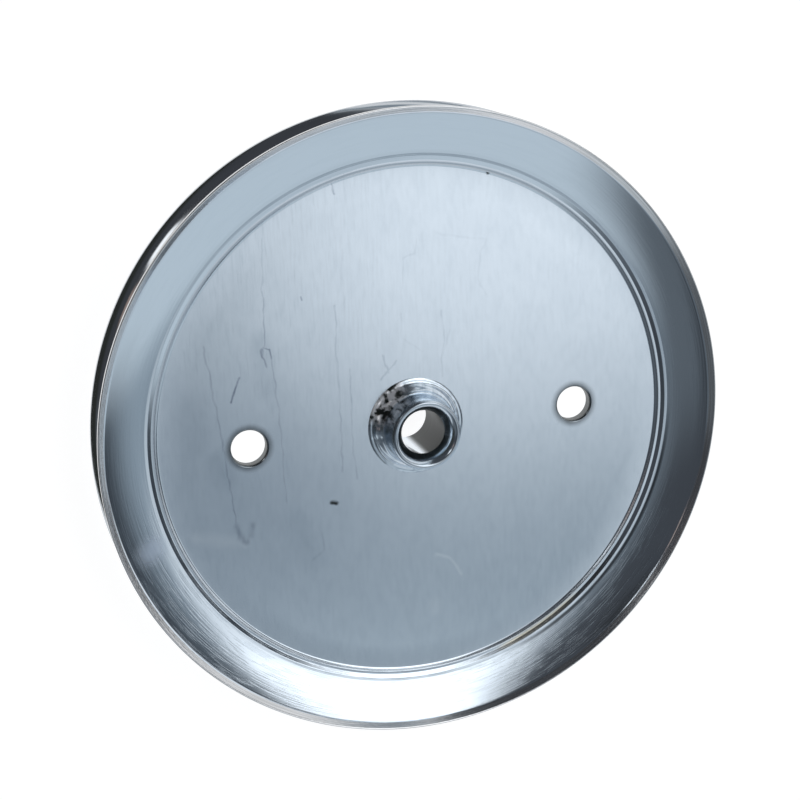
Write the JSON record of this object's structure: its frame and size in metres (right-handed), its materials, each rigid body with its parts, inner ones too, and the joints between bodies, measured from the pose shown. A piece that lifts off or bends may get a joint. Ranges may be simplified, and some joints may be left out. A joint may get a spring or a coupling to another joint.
{
  "type": "snow blower impeller pulley",
  "caption": "Pressed steel V-belt pulley for a snow blower impeller: back-to-back dished sheaves with a wide flat web, and a welded hub with a plain shaft bore.",
  "frame": {"origin": "on the shaft axis, in the plane where the two half sheaves meet, which is the middle of the belt groove", "axes": "+Z along the shaft axis towards the welded front, +X through the centres of the two web holes"},
  "size_m": [0.2286, 0.2286, 0.0318],
  "materials": {
    "plated_sheet": "bright zinc plate over rolled sheet",
    "turned_hub": "bright zinc plate over turned steel",
    "plated_weld": "zinc plate over a weld bead"
  },
  "bodies": {
    "root": {"front_sheave": "plated_sheet", "rear_sheave": "plated_sheet", "hub": "turned_hub", "hub_weld": "plated_weld"}
  },
  "joints": []
}
